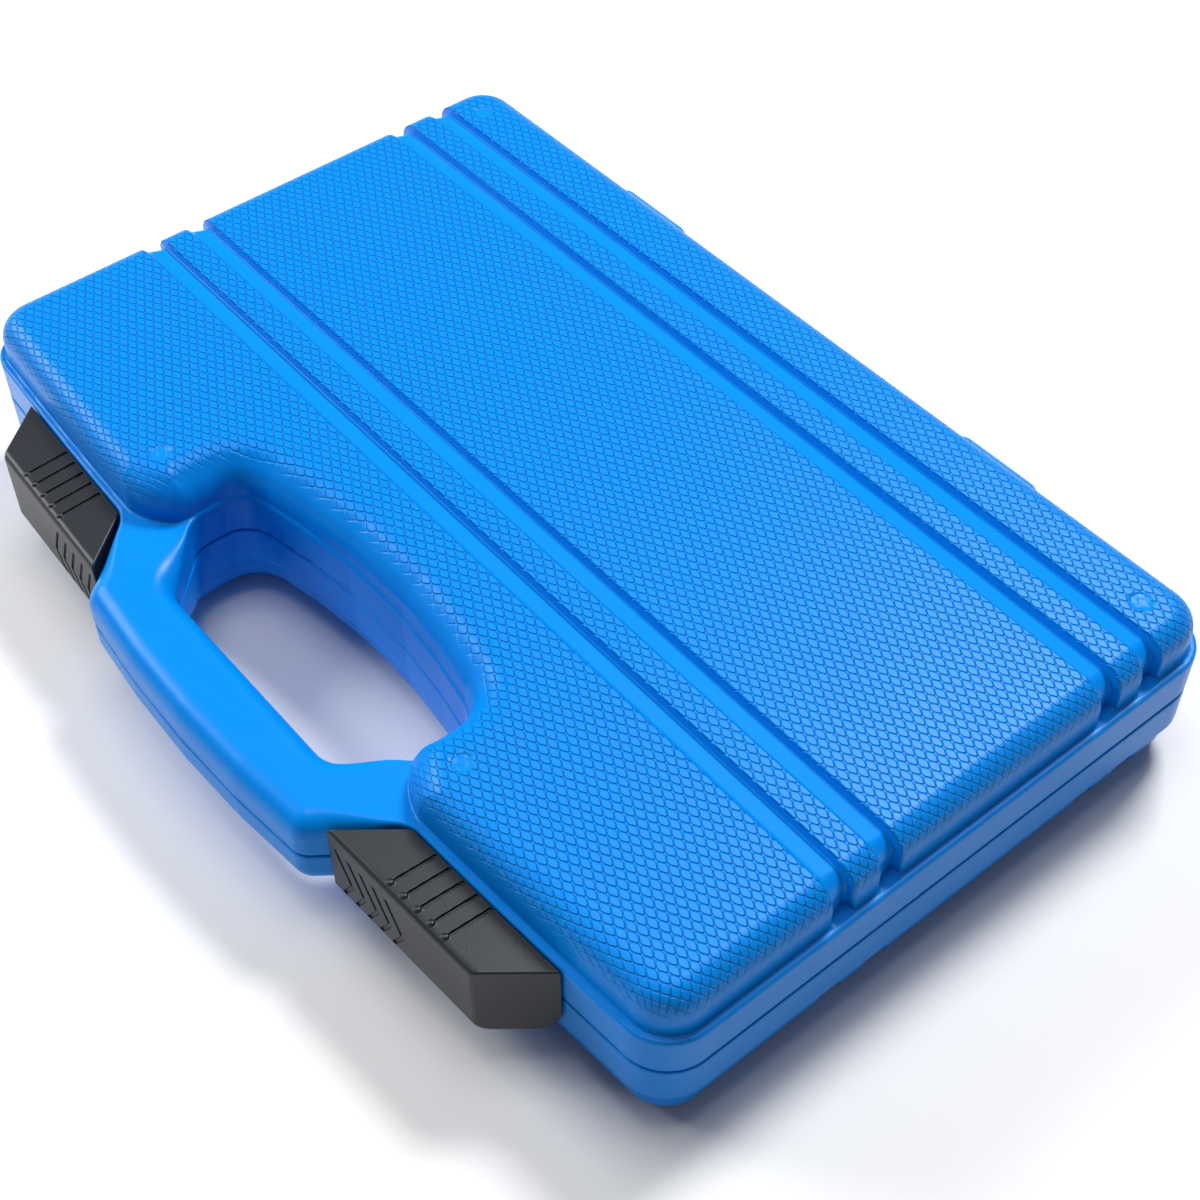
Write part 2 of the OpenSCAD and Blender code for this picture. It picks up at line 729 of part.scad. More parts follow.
module ratchet_body() {
    neck = 34;
    shank_end = ratchet_l - head_r - 92;
    color("silver")
        difference() {
            union() {
                cylinder(r = head_r, h = head_h);
                translate([0, 0, 0.6])
                    linear_extrude(head_h - 1.2)
                        polygon([[8, 15.4], [22, 11.5], [neck + 4, 6.2], [neck + 4, -6.2], [22, -11.5],
                            [8, -15.4]]);
                translate([neck, 0, head_h / 2]) rotate([0, 90, 0]) cylinder(r = 5.8, h = shank_end - neck);
                translate([shank_end - 1, 0, head_h / 2])
                    rotate([0, 90, 0]) cylinder(r = 4, h = ratchet_l - head_r - shank_end - 12);
            }
            translate([0, 0, 2.6]) cylinder(r = gear_r + 0.4, h = head_h);
            translate([0, 0, -1]) cylinder(r = 8 + run_fit, h = 5);
            translate([0, 0, 2.6]) sector(gear_r, chamber_r + 0.3, 36, plate_z - 2.6 + eps);
            translate([lever_x, 0, 2.6]) cylinder(r = 3 + run_fit, h = head_h);
            translate([14, -3.2, 2.6]) cube([4, 6.4, plate_z - 2.6 + eps]);
            translate([0, 0, plate_z]) linear_extrude(3) cover_plan(0.15);
            for (a = [110, 180, 250])
                rotate([0, 0, a]) translate([screw_r, 0, 3]) cylinder(d = 1.9, h = head_h);
        }
}

module cover_plan(d) {
    circle(r = head_r - 1.2 + d);
    translate([lever_x, 0]) circle(r = 6.2 + d);
}

module ratchet_cover() {
    color("gainsboro")
        at_ratchet()
            difference() {
                translate([0, 0, plate_z]) linear_extrude(1.7) cover_plan(0);
                translate([0, 0, plate_z - 1]) cylinder(r = 4.6 + run_fit, h = 4);
                translate([lever_x, 0, plate_z - 1]) cylinder(r = 3 + run_fit, h = 4);
                for (a = [110, 180, 250])
                    rotate([0, 0, a]) translate([screw_r, 0, plate_z - 1]) cylinder(d = 2, h = 4);
            }
}

module cover_screws() {
    color("dimgray")
        at_ratchet()
            for (a = [110, 180, 250])
                rotate([0, 0, a])
                    translate([screw_r, 0, 0])
                        difference() {
                            union() {
                                translate([0, 0, 4]) cylinder(d = 1.8, h = plate_z - 2);
                                translate([0, 0, plate_z + 1.7]) cylinder(d = 3.6, h = 1);
                            }
                            translate([0, 0, plate_z + 2.1]) cylinder(d = 1.6, h = 2, $fn = 6);
                        }
}

module drive_gear() {
    color("lightgray")
        at_ratchet()
            difference() {
                union() {
                    translate([0, 0, 3])
                        linear_extrude(gear_h)
                            polygon([for (i = [0:2 * gear_teeth - 1])
                                let (r = i % 2 == 0 ? gear_r : gear_r - 1)
                                [r * cos(180 * i / gear_teeth), r * sin(180 * i / gear_teeth)]]);
                    cylinder(r = 8, h = 3.5);
                    translate([0, 0, 3]) cylinder(r = 4.6, h = plate_z + 1.7 - 3);
                    translate([-drive / 2, -drive / 2, -11]) cube([drive, drive, 12]);
                }
                translate([0, 0, -3.5]) cylinder(r = 2 + run_fit, h = 30);
                translate([0, 0, -7]) rotate([0, 90, 0]) cylinder(r = 1.6, h = 10);
            }
}

module release_button() {
    color("black")
        at_ratchet() {
            translate([0, 0, 1]) cylinder(r = 2, h = plate_z + 2.4);
            translate([0, 0, plate_z + 3.9]) cylinder(r = 4, h = 1.8);
            translate([0, 0, plate_z + 3]) cylinder(r = 2, h = 1);
        }
}

module detent_ball() {
    color("white")
        at_ratchet() translate([drive / 2 - 0.9, 0, -7]) sphere(r = 1.5);
}

module pawl() {
    color("gray")
        at_ratchet()
            difference() {
                translate([0, 0, 3]) sector(gear_r + 0.35, chamber_r, 26, plate_z - 3.4);
                translate([lever_x - 3.9, 0, 2]) cylinder(r = 1.3, h = 12);
            }
}

module direction_lever() {
    color("dimgray")
        at_ratchet() {
            translate([lever_x, 0, 3]) cylinder(r = 3, h = plate_z);
            translate([lever_x, 0, plate_z + 2])
                linear_extrude(2.4) {
                    circle(r = 5.6);
                    translate([0, -2.6]) square([11, 5.2]);
                }
            translate([lever_x + 8.5, -2.6, plate_z + 2]) cube([2.5, 5.2, 4.2]);
            translate([lever_x - 3.9, 0, 3.6]) cylinder(r = 0.8, h = plate_z - 4.6);
            translate([lever_x - 3.9, -0.7, 3.6]) cube([2.5, 1.4, plate_z - 4.6]);
        }
}

module ratchet_grip() {
    grip = 95;
    end = ratchet_l - head_r;
    color("royalblue")
        at_ratchet()
            translate([end - grip, 0, head_h / 2])
                difference() {
                    rotate([0, 90, 0])
                        rotate_extrude()
                            polygon([[0, 0], [8, 0], [10, 2], [9.4, 14], [11, 30], [12, 48], [11.4, 66],
                                [12.6, 84],
                                [11.6, 92], [8, grip], [0, grip]]);
                    translate([-1, 0, 0]) rotate([0, 90, 0]) cylinder(r = 4, h = grip - 8);
                    translate([-1, 0, 0]) rotate([0, 90, 0]) cylinder(r = 5.8, h = 4);
                }
}

// ---- assembly ----

module shifted() {
    translate([0, shift_y, 0]) children();
}

shifted() base_shell();
shifted() lid_shell();
shifted() tool_tray();
shifted() lid_liner();
shifted() hinge_pin(-1);  // hinge_pin_left
shifted() hinge_pin(1);  // hinge_pin_right
shifted() color("#2b2d30") at_latch(-1) latch(-1);  // latch_left
shifted() color("#2b2d30") at_latch(1) latch(1);  // latch_right
shifted() color("silver") at_latch(-1) latch_pin();  // latch_pin_left
shifted() color("silver") at_latch(1) latch_pin();  // latch_pin_right
shifted() at_ratchet() ratchet_body();
shifted() ratchet_grip();
shifted() ratchet_cover();
shifted() cover_screws();
shifted() drive_gear();
shifted() pawl();
shifted() direction_lever();
shifted() release_button();
shifted() detent_ball();
shifted() translate([ext_long_at[0], ext_long_at[1], ext_z]) extension(ext_long);  // extension_long
shifted() translate([ext_short_at[0], ext_short_at[1], ext_z]) extension(ext_short);  // extension_short
shifted() extension_balls();
shifted() t_bar();
shifted() t_bar_head();
shifted() step_up_adaptor();
shifted() spark_socket(0);  // spark_socket_16
shifted() spark_socket(1);  // spark_socket_21
shifted() spark_inserts();
for (i = [0:len(small_sizes) - 1])
    shifted()
            lying_socket(
                small_x(i), small_y, small_sizes[i], small_od[i], socket_len(small_sizes[i]), true);
for (i = [0:len(big_sizes) - 1])
    shifted() lying_socket(big_x[i], big_y, big_sizes[i], big_od[i], socket_len(big_sizes[i]), true);
for (i = [0:len(deep_sizes) - 1])
    shifted() lying_socket(deep_x[i], deep_y, deep_sizes[i], deep_od[i], deep_l, false);
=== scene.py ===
import functools
import json
import math

import bpy
import numpy as np
import openvdb
from mathutils import Matrix, Vector


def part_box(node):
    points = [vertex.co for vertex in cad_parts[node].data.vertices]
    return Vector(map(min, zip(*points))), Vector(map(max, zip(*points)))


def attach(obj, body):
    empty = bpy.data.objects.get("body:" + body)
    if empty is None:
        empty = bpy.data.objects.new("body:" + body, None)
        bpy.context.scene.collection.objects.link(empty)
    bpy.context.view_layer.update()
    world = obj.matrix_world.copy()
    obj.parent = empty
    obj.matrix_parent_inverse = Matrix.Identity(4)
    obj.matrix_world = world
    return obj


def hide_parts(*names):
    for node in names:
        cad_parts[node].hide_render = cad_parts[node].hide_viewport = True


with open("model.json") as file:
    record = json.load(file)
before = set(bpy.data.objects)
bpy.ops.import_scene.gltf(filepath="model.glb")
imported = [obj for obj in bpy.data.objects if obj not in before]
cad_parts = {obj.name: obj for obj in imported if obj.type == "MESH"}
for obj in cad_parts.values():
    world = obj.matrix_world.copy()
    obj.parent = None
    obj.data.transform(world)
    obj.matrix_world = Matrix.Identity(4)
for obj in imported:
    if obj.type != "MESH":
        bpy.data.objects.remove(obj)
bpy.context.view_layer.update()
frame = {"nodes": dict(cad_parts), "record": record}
mm = 0.001

caseLow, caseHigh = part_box("lid_shell")
print("frame read: case", round((caseHigh.x - caseLow.x) / mm), "mm long")


def roundedCommon(radius, *parts):
    # common part of shapes, with its edges rounded
    lifted = [p + radius for p in parts]
    outside = np.sqrt(sum(np.maximum(p, 0.0) ** 2 for p in lifted))
    return outside + np.minimum(functools.reduce(np.maximum, lifted), 0.0) - radius


def filletedUnion(radius, a, b):
    return -roundedCommon(radius, -a, -b)


def ramp(value, low, high):
    t = np.clip((value - low) / (high - low), 0.0, 1.0)
    return t * t * (3.0 - 2.0 * t)


def polygonDistance(points, x, y):
    nearest, sign = np.full(np.broadcast(x, y).shape, 1e12), 1.0
    for (ax, ay), (bx, by) in zip(points, points[1:] + points[:1]):
        ex, ey, wx, wy = bx - ax, by - ay, x - ax, y - ay
        t = np.clip((wx * ex + wy * ey) / (ex * ex + ey * ey), 0.0, 1.0)
        nearest = np.minimum(nearest, (wx - ex * t) ** 2 + (wy - ey * t) ** 2)
        above, below, left = y >= ay, y < by, ex * wy > ey * wx
        sign = np.where((above & below & left) | (~above & ~below & ~left), -sign, sign)
    return sign * np.sqrt(nearest)


def shrunk(points, inset):
    # a convex outline with every side moved inwards
    area = sum(ax * by - bx * ay for (ax, ay), (bx, by) in zip(points, points[1:] + points[:1]))
    turn = 1.0 if area > 0 else -1.0
    lines = []
    for (ax, ay), (bx, by) in zip(points, points[1:] + points[:1]):
        long = math.hypot(bx - ax, by - ay)
        nx, ny = -(by - ay) / long * turn, (bx - ax) / long * turn
        lines.append((nx, ny, nx * ax + ny * ay + inset))
    moved = []
    for (n1x, n1y, c1), (n2x, n2y, c2) in zip(lines[-1:] + lines[:-1], lines):
        det = n1x * n2y - n2x * n1y
        moved.append(((c1 * n2y - c2 * n1y) / det, (n1x * c2 - n2x * c1) / det))
    return moved


def roundedOutline(points, radius, x, y):
    return polygonDistance(shrunk(points, radius), x, y) - radius


# Sizes in millimetres, in the case's own plan: x along it, y from handle to hinges, up from the seam
caseShape = {
    "length": (caseHigh.x - caseLow.x) / mm,
    "depth": 190.0,
    "middleY": 7.1,  # the plan's origin in the frame
    "partingZ": 25.0,
    "bandHeight": 12.4,  # the smooth border round each half
    "panelTop": caseHigh.z / mm - 25.0,
    "ledge": 2.3,
    "cornerRadius": 13.5,
    "frontBow": 5.0,
    "panelRadius": 7.0,
    "rollRadius": 11.0,  # the softer edge round the finger opening
    "wall": 2.0,
    "partingGap": 0.4,
    "seamRadius": 0.7,
    "markFront": (66.5, -79.0),  # the faint round marks
    "markRear": (133.8, 80.1),
    "markRadius": (2.3, 3.3),
    "markDepth": 0.15,
    "voxel": 0.8,
}


def frontEdge(x):
    bowX = caseShape["length"] / 2 - caseShape["cornerRadius"]
    return -caseShape["depth"] / 2 + caseShape["frontBow"] * (np.minimum(np.abs(x), bowX) / bowX) ** 2


def casePlan(x, y):
    # rounded rectangle whose front edge bows out in the middle
    half, deep, r = caseShape["length"] / 2, caseShape["depth"] / 2, caseShape["cornerRadius"]
    bent = y - (frontEdge(x) + deep) * ramp(-y, 20.0, 78.0)
    qx, qy = np.abs(x) - half + r, np.abs(bent) - deep + r
    return np.sqrt(np.maximum(qx, 0) ** 2 + np.maximum(qy, 0) ** 2) + np.minimum(np.maximum(qx, qy), 0) - r


handleShape = {
    "frontY": -118.5,
    "bow": 3.0,
    "tipX": 48.3,
    "rootX": 64.7,
    "edgeRadius": 6.2,
    "barThickness": 21.0,
    "cornerRadius": 6.0,
}
fingerShape = {
    "rearHalf": 52.0,
    "barHalf": 35.0,
    "reach": 39.5,
    "radius": 9.0,
    "rearBow": ((44.0, -4.6), (30.0, -2.0), (12.0, 0.0)),  # x, and how far the rear edge is from its middle
    "mouthFillet": 5.0,
}


def fingerPlan(x, y):
    front = handleShape["frontY"] + handleShape["barThickness"]
    rear = front + fingerShape["reach"]
    bar, wide = fingerShape["barHalf"], fingerShape["rearHalf"]
    right = [(bar, front), (wide, front + 17), (wide, rear - 8)]
    right += [(px, rear + off) for px, off in fingerShape["rearBow"]]
    outline = right + [(-px, py) for px, py in reversed(right)]
    return roundedOutline(outline, fingerShape["radius"], x, y)


def handlePlan(x, y):
    root, tip, front = handleShape["rootX"], handleShape["tipX"], handleShape["frontY"]
    rootY = float(frontEdge(root))
    bow = handleShape["bow"]
    right = [(0.0, front), (tip / 2, front + bow / 4), (tip, front + bow)]
    right += [(root, rootY), (root + 6, rootY + 8)]
    outline = right + [(-px, py) for px, py in reversed(right[1:])]
    return roundedOutline(outline, handleShape["cornerRadius"], x, y)


def notchPlan(x, y):
    # the finger opening with its mouth spread over the handle's arms
    front = handleShape["frontY"] + handleShape["barThickness"]
    half = fingerShape["rearHalf"]
    right = [(half + 9, -112.0), (half + 9, front + 5), (half + 2, front + 11), (half - 6, front + 20)]
    mouth = polygonDistance(right + [(-px, py) for px, py in reversed(right)], x, y)
    return filletedUnion(fingerShape["mouthFillet"], fingerPlan(x, y), mouth)


grooveShape = {
    "rearWalls": (73.0, 57.9, -16.4, -31.3),  # y of each groove's steep rear wall
    "width": 6.8,
    "depth": 2.3,
    "endDepth": 3.6,  # deeper where it runs over the panel's ends
    "wallBlend": 0.5,
}


def grooveDepth(y, atEnd):
    depth, blend = 0.0, grooveShape["wallBlend"]
    deep = grooveShape["depth"] + (grooveShape["endDepth"] - grooveShape["depth"]) * atEnd
    for wall in grooveShape["rearWalls"]:
        forward = wall - y
        slope = np.clip(1.0 - (forward - blend) / (grooveShape["width"] - blend), 0.0, 1.0)
        steep = ramp(forward, -blend, blend)
        flat = ramp(slope, 0.0, 0.18) * (0.35 + 0.65 * slope)  # shallow in front, deepest at the wall
        depth = depth + steep * flat * deep
    return depth


def panelSide(x, y):
    # how far inside the raised panel's foot a place is: negative is inside
    outer = casePlan(x, y) + caseShape["ledge"]
    notch = -notchPlan(x, y) + 0.6
    blend = 5.0
    share = np.clip(0.5 + 0.5 * (outer - notch) / blend, 0.0, 1.0)
    return notch * (1 - share) + outer * share + blend * share * (1 - share), share


latchShape = {
    "innerX": 66.0,
    "length": 52.6,
    "thickness": 15.4,
    "skew": 13.6,  # how far the slanted ends run along the case
    "wall": 2.2,
    "axisV": 6.0,
    "axisZ": 18.1,
    "heelRadius": 5.4,
    "noseRadius": 3.0,
    "topEdge": 1.9,
    "backV": 0.3,  # clearance from the case
    "voxel": 0.32,
    "ribs": 5,
    "ribPitch": 4.9,
    "ribDepth": 0.75,
    "chevrons": 5,
    "chevronFirst": -31.6,
    "chevronPitch": 4.7,
    "chevronZ": 21.8,
    "chevronDepth": 0.55,
}


def latchMiddle():
    # where a latch's middle lies along the case, and how far its wall turns there
    middle = latchShape["innerX"] + latchShape["length"] / 2
    bowX = caseShape["length"] / 2 - caseShape["cornerRadius"]
    return middle, math.atan(2 * caseShape["frontBow"] * middle / bowX**2)


def latchPlace(x, y):
    # the latch's own plan: u along the case's wall, v out of the case
    middle, turn = latchMiddle()
    dx, dy = np.abs(x) - middle, y - float(frontEdge(middle))
    return math.cos(turn) * dx + math.sin(turn) * dy, math.sin(turn) * dx - math.cos(turn) * dy


hingeShape = {
    "x": 71.5,
    "length": 31.0,
    "reach": 5.4,
    "height": 16.0,
    "round": 4.6,
    "knuckleRadius": 3.9,
    "socketGap": 0.4,
    "endGap": 0.3,
}


def knuckles(x, y, up, middle, radius, extra):
    # the lid has the middle knuckle of each hinge, the base the outer two
    third = hingeShape["length"] / 3
    axisY = caseShape["depth"] / 2 + hingeShape["reach"]
    across = np.abs(np.abs(x) - hingeShape["x"])
    centre = across if middle else np.abs(across - third - 0.5) + 0.5
    run = centre - third / 2 + hingeShape["endGap"] - extra
    return roundedCommon(0.4, np.sqrt((y - axisY) ** 2 + up**2) - radius, run)


def bandHalf(x, y, up):
    # the low band with the handle: the edges grow rounder from the case towards the bar
    plan = filletedUnion(3.0, casePlan(x, y), handlePlan(x, y))
    high = up - caseShape["bandHeight"]
    edge, more = 0.8, handleShape["edgeRadius"] - 0.8
    outer = roundedCommon(edge + more * ramp(-y, 94.0, 110.0), plan, high)
    inner = roundedCommon(edge + more * ramp(-y, 84.0, 97.0), -fingerPlan(x, y), high)
    return np.maximum(outer, inner)


def roundMark(x, y):
    # the faint round marks near the panel's corners: 1 inside
    places = (caseShape["markFront"], caseShape["markRear"])
    away = [np.sqrt((np.abs(x) - mx) ** 2 + (y - my) ** 2) for mx, my in places]
    return 1 - ramp(np.minimum(*away), *caseShape["markRadius"])


def panelHalf(x, y, up, grooved):
    side, outerShare = panelSide(x, y)
    radius = caseShape["rollRadius"] + (caseShape["panelRadius"] - caseShape["rollRadius"]) * outerShare
    lifted, top = side + radius, up - caseShape["panelTop"] + radius
    panel = np.sqrt(np.maximum(lifted, 0) ** 2 + np.maximum(top, 0) ** 2)
    panel = panel + np.minimum(np.maximum(lifted, top), 0) - radius
    panel = panel + caseShape["markDepth"] * roundMark(x, y)
    return panel + grooveDepth(y, ramp(lifted, 0.0, radius)) if grooved else panel


def hingeHalf(body, x, y, up, lid):
    # the housings, knuckles and their webs at the rear edge
    seam = caseShape["partingGap"] / 2 - up
    gap, radius = hingeShape["socketGap"], hingeShape["knuckleRadius"]
    rear = caseShape["depth"] / 2 + hingeShape["reach"] - 0.2
    acrossHousing = np.abs(np.abs(x) - hingeShape["x"]) - hingeShape["length"] / 2
    housing = roundedCommon(hingeShape["round"], acrossHousing, y - rear, up - hingeShape["height"])
    housing = np.maximum(housing, 84.0 - y)
    body = filletedUnion(1.5, body, housing)
    body = roundedCommon(caseShape["seamRadius"], body, seam)
    body = np.maximum(body, -knuckles(x, y, up, not lid, radius + gap, 0.6))
    own = knuckles(x, y, up, lid, radius, 0.0)
    web = np.maximum(knuckles(x, y, 0.0 * up, lid, radius * 2.2, 0.0), y - rear - 0.2)
    web = np.maximum(np.maximum(web, up - 8.0), seam)
    return np.minimum(body, np.minimum(own, web))


def hollowed(body, x, y, up):
    wall = caseShape["wall"]
    lower = np.maximum(np.maximum(casePlan(x, y), -fingerPlan(x, y)), up - caseShape["bandHeight"]) + wall
    upper = panelHalf(x, y, up, False) + wall + grooveShape["endDepth"] - 0.8
    return np.maximum(body, -np.minimum(lower, upper))


def latchLugs(body, x, y, up):
    # room in the base for the latch's heel to swing, and the two lugs that carry its pin
    u, v = latchPlace(x, y)
    axisV, axisUp = latchShape["axisV"], caseShape["partingZ"] - latchShape["axisZ"]
    halfLength, back = latchShape["length"] / 2, latchShape["backV"]
    shift = -latchShape["skew"] * axisV / latchShape["thickness"]
    slant = latchShape["skew"] / (latchShape["thickness"] - back)
    fromAxis = np.sqrt((v - axisV) ** 2 + (up - axisUp) ** 2)
    pastEnd = -u - halfLength - 0.6 - (axisV + fromAxis - back) * slant
    heel = np.maximum(np.maximum(fromAxis - latchShape["thickness"] + axisV - 0.8, back - v), pastEnd)
    heel = np.maximum(heel, np.maximum(u + halfLength - 1, axisUp - 2 - up))
    body = np.maximum(body, -heel)
    eyeRadius = 3.3
    arm = np.maximum(np.abs(up - axisUp) - eyeRadius, np.maximum(-1.2 - v, v - axisV))
    lug = np.maximum(np.minimum(fromAxis - eyeRadius, arm), np.abs(np.abs(u - shift) - 9.5) - 2.0)
    return np.minimum(body, lug)


def catchRecess(body, x, y, up):
    # the lid's recess for the latch's bead
    u, v = latchPlace(x, y)
    shift = -latchShape["skew"] * latchShape["axisV"] / latchShape["thickness"]
    recess = np.maximum(np.abs(u - shift) - 7, np.maximum(np.abs(v + 0.1) - 1.0, np.abs(up - 4.7) - 1.5))
    return np.maximum(body, -recess)


def shellHalf(x, y, up, lid):
    body = filletedUnion(0.6, bandHalf(x, y, up), panelHalf(x, y, up, True))
    body = hollowed(hingeHalf(body, x, y, up, lid), x, y, up)
    return catchRecess(body, x, y, up) if lid else latchLugs(body, x, y, up)


def solidMesh(name, distance, low, high, voxel, place):
    # meshes a shape, moves each point onto its exact surface, and takes shading from it too
    axes = [np.arange(a - 2 * voxel, b + 2 * voxel, voxel, dtype=np.float32) for a, b in zip(low, high)]
    x, y, z = np.meshgrid(*axes, indexing="ij", sparse=True)
    field = np.ascontiguousarray(np.broadcast_to(distance(x, y, z), [len(a) for a in axes]), np.float32)
    grid = openvdb.FloatGrid()
    grid.background = 3.0 * voxel
    grid.copyFromArray(np.clip(field, -3 * voxel, 3 * voxel))
    points, triangles, quads = grid.convertToPolygons(isovalue=0.0, adaptivity=0.0)
    points = points.astype(np.float64) * voxel + [a[0] for a in axes]

    def slopes(p, step):
        # the direction in which the distance grows
        found = []
        for axis in range(3):
            ahead, behind = p.copy(), p.copy()
            ahead[:, axis] += step
            behind[:, axis] -= step
            found.append((distance(*ahead.T) - distance(*behind.T)) / (2 * step))
        return np.stack(found, 1)

    for _ in range(2):
        slope = slopes(points, 0.05)
        length = np.maximum(np.sum(slope**2, 1), 0.25)
        move = -distance(*points.T)[:, None] * slope / length[:, None]
        points = points + np.clip(move, -0.4 * voxel, 0.4 * voxel)
    normals = slopes(points, 0.12)
    normals /= np.maximum(np.linalg.norm(normals, axis=1), 1e-6)[:, None]
    local = points
    points, normals = place(points, normals)
    faces = [tuple(f) for f in triangles.tolist()] + [tuple(f) for f in quads.tolist()]
    mesh = bpy.data.meshes.new(name)
    mesh.from_pydata((points * mm).tolist(), [], faces)
    mesh.update()
    firstNormal = np.array([p.normal for p in mesh.polygons[:200]])
    firstVertex = np.array([p.vertices[0] for p in mesh.polygons[:200]])
    if np.sum(firstNormal * normals[firstVertex]) < 0:
        mesh.flip_normals()
    mesh.polygons.foreach_set("use_smooth", np.ones(len(mesh.polygons), bool))
    mesh.normals_split_custom_set_from_vertices(normals.tolist())
    obj = bpy.data.objects.new(name, mesh)
    bpy.context.scene.collection.objects.link(obj)
    print(name, len(mesh.vertices), "points", len(mesh.polygons), "faces")
    return obj, local


def surfaceValue(obj, name, values):
    made = obj.data.attributes.new(name, "FLOAT", "POINT")
    made.data.foreach_set("value", np.asarray(values, np.float32))


class Wire:
    # one socket of a shader; sums and products of it add Math nodes

    def __init__(self, tree, socket):
        self.tree, self.socket = tree, socket

    def maths(self, operation, *others, clamp=False):
        node = self.tree.nodes.new("ShaderNodeMath")
        node.operation, node.use_clamp = operation, clamp
        for place, value in zip(node.inputs, (self,) + others):
            if isinstance(value, Wire):
                self.tree.links.new(value.socket, place)
            else:
                place.default_value = value
        return Wire(self.tree, node.outputs[0])

    def __add__(self, other):
        return self.maths("ADD", other)

    __radd__ = __add__

    def __mul__(self, other):
        return self.maths("MULTIPLY", other)

    __rmul__ = __mul__

    def __sub__(self, other):
        return self.maths("SUBTRACT", other)

    def __rsub__(self, other):
        return (self * -1.0) + other

    def __truediv__(self, other):
        return self.maths("DIVIDE", other)

    def __rtruediv__(self, other):
        return (self ** -1.0) * other

    def __pow__(self, other):
        return self.maths("POWER", other)

    def __abs__(self):
        return self.maths("ABSOLUTE")

    def clamped(self):
        return self.maths("ADD", 0.0, clamp=True)


class Finish:
    # a material and the nodes that make it

    def __init__(self, name, **values):
        self.material = bpy.data.materials.new(name)
        self.material.use_nodes = True
        self.tree = self.material.node_tree
        self.tree.nodes.clear()
        self.shader = self.tree.nodes.new("ShaderNodeBsdfPrincipled")
        output = self.tree.nodes.new("ShaderNodeOutputMaterial")
        self.tree.links.new(self.shader.outputs[0], output.inputs[0])
        for socket, value in values.items():
            self.put(socket, value)

    def put(self, socket, value):
        place = self.shader.inputs[socket]
        if isinstance(value, Wire):
            self.tree.links.new(value.socket, place)
        else:
            place.default_value = value

    def node(self, kind, output, settings=None, **sockets):
        made = self.tree.nodes.new(kind)
        for key, value in (settings or {}).items():
            setattr(made, key, value)
        for key, value in sockets.items():
            place = made.inputs[int(key[1:]) if key[1:].isdigit() else key]
            if isinstance(value, Wire):
                self.tree.links.new(value.socket, place)
            else:
                place.default_value = value
        return Wire(self.tree, made.outputs[output])

    def place(self):
        return self.node("ShaderNodeTexCoord", "Object")

    def attribute(self, name):
        return self.node("ShaderNodeAttribute", "Fac", {"attribute_name": name})

    def noise(self, vector, scale, detail=3.0, roughness=0.55):
        return self.node(
            "ShaderNodeTexNoise", "Fac", Vector=vector, Scale=scale, Detail=detail, Roughness=roughness
        )

    def mixed(self, share, a, b):
        return self.node("ShaderNodeMix", 2, {"data_type": "RGBA"}, n0=share, n6=a, n7=b)

    def ramped(self, share, low, high):
        settings = {"clamp": True, "interpolation_type": "SMOOTHSTEP"}
        return self.node("ShaderNodeMapRange", 0, settings, n0=share, n1=low, n2=high)

    def bump(self, height, distance, strength=1.0, under=None):
        sockets = {"Height": height, "Distance": distance, "Strength": strength}
        if under is not None:
            sockets["Normal"] = under
        return self.node("ShaderNodeBump", 0, None, **sockets)


shellPlastic = {
    "topColour": (0.0, 0.225, 0.74, 1.0),
    # painted shade in the valleys between the lozenges, and the darker end of the random tone
    "valleyShadeAndToneColour": (0.0, 0.12, 0.52, 1.0),
    "roughness": 0.27,
    "diamondLong": 4.72,
    "diamondWide": 2.77,
    "diamondHeight": 0.55,
    "valley": (1.03, 0.76),  # where the valley between two lozenges starts and ends
    "valleyShade": 0.35,
}


def makeShellFinish(name):
    finish = Finish(name, IOR=1.5)
    finish.put("Specular IOR Level", 0.15)
    u, v, mask = finish.attribute("patternU"), finish.attribute("patternV"), finish.attribute("patternMask")
    where = finish.place()
    # rounded lozenges in staggered rows, with a narrow valley between them
    a = u / shellPlastic["diamondLong"] + v / shellPlastic["diamondWide"]
    b = u / shellPlastic["diamondLong"] - v / shellPlastic["diamondWide"]
    acrossA = abs(a.maths("FRACT") - 0.5) * 2.0
    acrossB = abs(b.maths("FRACT") - 0.5) * 2.0
    edge = (acrossA ** 4.0 + acrossB ** 4.0) ** 0.25
    valley = finish.ramped(edge, *shellPlastic["valley"])
    height = valley * mask
    fine = finish.noise(where, 1500.0, 4.0)
    wide = finish.noise(where, 22.0, 2.0)
    stretched = finish.node("ShaderNodeMapping", 0, None, Vector=where, Scale=(40.0, 900.0, 200.0))
    scratches = finish.ramped(finish.noise(stretched, 1.0, 3.0, 0.6), 0.66, 0.74)
    # painted shade: the valleys between the lozenges are darkened, mixed with tone that differs at random
    paintedShadeAndTone = (1.0 - valley) * mask * shellPlastic["valleyShade"] + (wide - 0.5) * 0.25
    colour = finish.mixed(paintedShadeAndTone.clamped(), shellPlastic["topColour"], shellPlastic["valleyShadeAndToneColour"])
    finish.put("Base Color", colour)
    uneven = (wide - 0.5) * 0.12 + fine * 0.06 + scratches * 0.1 + mask * 0.05
    finish.put("Roughness", uneven + shellPlastic["roughness"])
    small = finish.bump(fine, 0.00003, 0.35)
    finish.put("Normal", finish.bump(height, shellPlastic["diamondHeight"] * mm, 0.8, small))
    return finish.material


